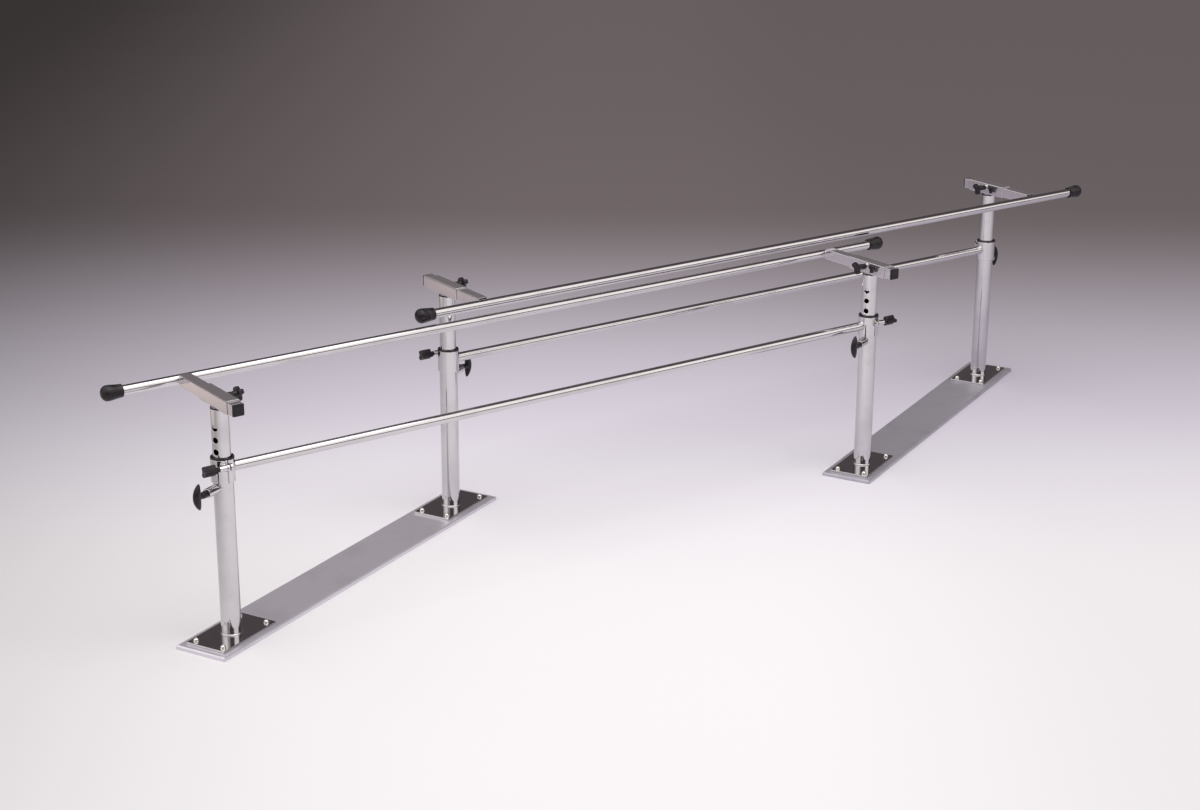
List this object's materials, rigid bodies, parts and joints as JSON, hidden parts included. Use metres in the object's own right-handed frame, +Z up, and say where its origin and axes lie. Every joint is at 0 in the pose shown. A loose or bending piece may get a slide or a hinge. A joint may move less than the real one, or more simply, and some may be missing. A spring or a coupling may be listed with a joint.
{
  "type": "rehab walking parallel bars",
  "caption": "Folding walking parallel bars: telescoping pinned posts on base plates carry handrails on sliding square arms, joined by lower rails.",
  "frame": {"origin": "on the floor, midway between the four posts", "axes": "+X along the handrails to the right, +Y across them to the rear, +Z up"},
  "size_m": [4.3012, 0.8322, 0.8425],
  "materials": {
    "chrome": "polished chrome plate",
    "satin_plate": "satin, with bright bevelled edges",
    "black_plastic": "black, slightly glossy",
    "rubber": "black rubber",
    "spring_steel": "bare spring wire"
  },
  "bodies": {
    "left_base": {"base_plate_left": "satin_plate", "outer_post_front_left": "chrome", "guide_bush_front_left": "black_plastic", "outer_post_rear_left": "chrome", "guide_bush_rear_left": "black_plastic"},
    "right_base": {"base_plate_right": "satin_plate", "outer_post_front_right": "chrome", "guide_bush_front_right": "black_plastic", "outer_post_rear_right": "chrome", "guide_bush_rear_right": "black_plastic"},
    "front_lower_rail": {"lower_rail_front": "chrome", "collar_front_left": "chrome", "collar_front_right": "chrome"},
    "front_handrail": {"handrail_front": "chrome", "arm_tube_front_left": "chrome", "arm_plug_front_left": "black_plastic", "rail_cap_front_left": "rubber", "arm_tube_front_right": "chrome", "arm_plug_front_right": "black_plastic", "rail_cap_front_right": "rubber"},
    "rear_lower_rail": {"lower_rail_rear": "chrome", "collar_rear_left": "chrome", "collar_rear_right": "chrome"},
    "rear_handrail": {"handrail_rear": "chrome", "arm_tube_rear_left": "chrome", "arm_plug_rear_left": "black_plastic", "rail_cap_rear_left": "rubber", "arm_tube_rear_right": "chrome", "arm_plug_rear_right": "black_plastic", "rail_cap_rear_right": "rubber"},
    "front_left_inner_post": {"inner_post_front_left": "chrome"},
    "front_left_sleeve": {"arm_sleeve_front_left": "chrome"},
    "front_left_plunger": {"plunger_front_left": "black_plastic", "plunger_spring_front_left": "spring_steel"},
    "front_left_collar_knob": {"collar_knob_front_left": "black_plastic"},
    "front_left_width_knob": {"width_knob_front_left": "black_plastic"},
    "front_left_steady_knob": {"steady_knob_front_left": "black_plastic"},
    "front_right_inner_post": {"inner_post_front_right": "chrome"},
    "front_right_sleeve": {"arm_sleeve_front_right": "chrome"},
    "front_right_plunger": {"plunger_front_right": "black_plastic", "plunger_spring_front_right": "spring_steel"},
    "front_right_collar_knob": {"collar_knob_front_right": "black_plastic"},
    "front_right_width_knob": {"width_knob_front_right": "black_plastic"},
    "front_right_steady_knob": {"steady_knob_front_right": "black_plastic"},
    "rear_left_inner_post": {"inner_post_rear_left": "chrome"},
    "rear_left_sleeve": {"arm_sleeve_rear_left": "chrome"},
    "rear_left_plunger": {"plunger_rear_left": "black_plastic", "plunger_spring_rear_left": "spring_steel"},
    "rear_left_collar_knob": {"collar_knob_rear_left": "black_plastic"},
    "rear_left_width_knob": {"width_knob_rear_left": "black_plastic"},
    "rear_left_steady_knob": {"steady_knob_rear_left": "black_plastic"},
    "rear_right_inner_post": {"inner_post_rear_right": "chrome"},
    "rear_right_sleeve": {"arm_sleeve_rear_right": "chrome"},
    "rear_right_plunger": {"plunger_rear_right": "black_plastic", "plunger_spring_rear_right": "spring_steel"},
    "rear_right_collar_knob": {"collar_knob_rear_right": "black_plastic"},
    "rear_right_width_knob": {"width_knob_rear_right": "black_plastic"},
    "rear_right_steady_knob": {"steady_knob_rear_right": "black_plastic"}
  },
  "joints": [
    {"name": "fold", "type": "hinge", "parent": "left_base", "child": "front_lower_rail", "pos_m": [-1.87857, -0.26527, 0.56], "axis": [0, 0, 1], "range_deg": [-64.95, 1]},
    {"name": "fold_right_base", "type": "hinge", "parent": "front_lower_rail", "child": "right_base", "pos_m": [0.74343, -0.26527, 0.56], "axis": [0, 0, 1], "range_deg": [-1, 64.95]},
    {"name": "fold_rear_rail", "type": "hinge", "parent": "left_base", "child": "rear_lower_rail", "pos_m": [-0.74343, 0.26527, 0.56], "axis": [0, 0, 1], "range_deg": [-64.95, 1]},
    {"name": "front_height", "type": "slide", "parent": "left_base", "child": "front_left_inner_post", "axis": [0, 0, 1], "range_m": [-0.1143, 0.3429]},
    {"name": "front_height_right", "type": "slide", "parent": "right_base", "child": "front_right_inner_post", "axis": [0, 0, 1], "range_m": [-0.1143, 0.3429]},
    {"name": "rear_height", "type": "slide", "parent": "left_base", "child": "rear_left_inner_post", "axis": [0, 0, 1], "range_m": [-0.1524, 0.3048]},
    {"name": "rear_height_right", "type": "slide", "parent": "right_base", "child": "rear_right_inner_post", "axis": [0, 0, 1], "range_m": [-0.1524, 0.3048]},
    {"name": "front_left_swivel", "type": "hinge", "parent": "front_left_inner_post", "child": "front_left_sleeve", "pos_m": [-1.87857, -0.26527, 0.78002], "axis": [0, 0, 1], "range_deg": [-64.95, 1]},
    {"name": "front_right_swivel", "type": "hinge", "parent": "front_right_inner_post", "child": "front_right_sleeve", "pos_m": [0.74343, -0.26527, 0.78002], "axis": [0, 0, 1], "range_deg": [-64.95, 1]},
    {"name": "rear_left_swivel", "type": "hinge", "parent": "rear_left_inner_post", "child": "rear_left_sleeve", "pos_m": [-0.74343, 0.26527, 0.81812], "axis": [0, 0, 1], "range_deg": [-64.95, 1]},
    {"name": "rear_right_swivel", "type": "hinge", "parent": "rear_right_inner_post", "child": "rear_right_sleeve", "pos_m": [1.87857, 0.26527, 0.81812], "axis": [0, 0, 1], "range_deg": [-64.95, 1]},
    {"name": "front_width", "type": "slide", "parent": "front_left_sleeve", "child": "front_handrail", "axis": [0, -1, 0], "range_m": [-0.03, 0.126]},
    {"name": "rear_width", "type": "slide", "parent": "rear_left_sleeve", "child": "rear_handrail", "axis": [0, 1, 0], "range_m": [-0.03, 0.126]},
    {"name": "front_left_plunger_pull", "type": "slide", "parent": "left_base", "child": "front_left_plunger", "axis": [-0.9059, -0.4234, 0], "range_m": [0, 0.01], "stiffness_N_per_m": 700, "springref_m": -0.008},
    {"name": "front_right_plunger_pull", "type": "slide", "parent": "right_base", "child": "front_right_plunger", "axis": [-0.9059, -0.4234, 0], "range_m": [0, 0.01], "stiffness_N_per_m": 700, "springref_m": -0.008},
    {"name": "rear_left_plunger_pull", "type": "slide", "parent": "left_base", "child": "rear_left_plunger", "axis": [0.9059, 0.4234, 0], "range_m": [0, 0.01], "stiffness_N_per_m": 700, "springref_m": -0.008},
    {"name": "rear_right_plunger_pull", "type": "slide", "parent": "right_base", "child": "rear_right_plunger", "axis": [0.9059, 0.4234, 0], "range_m": [0, 0.01], "stiffness_N_per_m": 700, "springref_m": -0.008},
    {"name": "front_left_collar_knob_turn", "type": "hinge", "parent": "front_lower_rail", "child": "front_left_collar_knob", "pos_m": [-1.87857, -0.31027, 0.575], "axis": [1, 0, 0], "range_deg": [0, 540]},
    {"name": "front_right_collar_knob_turn", "type": "hinge", "parent": "front_lower_rail", "child": "front_right_collar_knob", "pos_m": [0.74343, -0.31027, 0.575], "axis": [-1, 0, 0], "range_deg": [0, 540]},
    {"name": "rear_left_collar_knob_turn", "type": "hinge", "parent": "rear_lower_rail", "child": "rear_left_collar_knob", "pos_m": [-0.74343, 0.31027, 0.575], "axis": [1, 0, 0], "range_deg": [0, 540]},
    {"name": "rear_right_collar_knob_turn", "type": "hinge", "parent": "rear_lower_rail", "child": "rear_right_collar_knob", "pos_m": [1.87857, 0.31027, 0.575], "axis": [-1, 0, 0], "range_deg": [0, 540]},
    {"name": "front_left_width_knob_turn", "type": "hinge", "parent": "front_left_sleeve", "child": "front_left_width_knob", "pos_m": [-1.87857, -0.26527, 0.78602], "axis": [-1, 0, 0], "range_deg": [0, 540]},
    {"name": "front_left_steady_knob_turn", "type": "hinge", "parent": "front_left_sleeve", "child": "front_left_steady_knob", "pos_m": [-1.87857, -0.30727, 0.78602], "axis": [-1, 0, 0], "range_deg": [0, 540]},
    {"name": "front_right_width_knob_turn", "type": "hinge", "parent": "front_right_sleeve", "child": "front_right_width_knob", "pos_m": [0.74343, -0.26527, 0.78602], "axis": [1, 0, 0], "range_deg": [0, 540]},
    {"name": "front_right_steady_knob_turn", "type": "hinge", "parent": "front_right_sleeve", "child": "front_right_steady_knob", "pos_m": [0.74343, -0.30727, 0.78602], "axis": [1, 0, 0], "range_deg": [0, 540]},
    {"name": "rear_left_width_knob_turn", "type": "hinge", "parent": "rear_left_sleeve", "child": "rear_left_width_knob", "pos_m": [-0.74343, 0.26527, 0.82412], "axis": [-1, 0, 0], "range_deg": [0, 540]},
    {"name": "rear_left_steady_knob_turn", "type": "hinge", "parent": "rear_left_sleeve", "child": "rear_left_steady_knob", "pos_m": [-0.74343, 0.22327, 0.82412], "axis": [-1, 0, 0], "range_deg": [0, 540]},
    {"name": "rear_right_width_knob_turn", "type": "hinge", "parent": "rear_right_sleeve", "child": "rear_right_width_knob", "pos_m": [1.87857, 0.26527, 0.82412], "axis": [1, 0, 0], "range_deg": [0, 540]},
    {"name": "rear_right_steady_knob_turn", "type": "hinge", "parent": "rear_right_sleeve", "child": "rear_right_steady_knob", "pos_m": [1.87857, 0.22327, 0.82412], "axis": [1, 0, 0], "range_deg": [0, 540]}
  ],
  "couplings": [
    {"joint": "fold_right_base", "follows": "fold", "ratio": -1},
    {"joint": "fold_rear_rail", "follows": "fold", "ratio": 1},
    {"joint": "front_height_right", "follows": "front_height", "ratio": 1},
    {"joint": "rear_height_right", "follows": "rear_height", "ratio": 1},
    {"joint": "front_left_swivel", "follows": "fold", "ratio": 1},
    {"joint": "front_right_swivel", "follows": "fold", "ratio": 1},
    {"joint": "rear_left_swivel", "follows": "fold", "ratio": 1},
    {"joint": "rear_right_swivel", "follows": "fold", "ratio": 1}
  ]
}
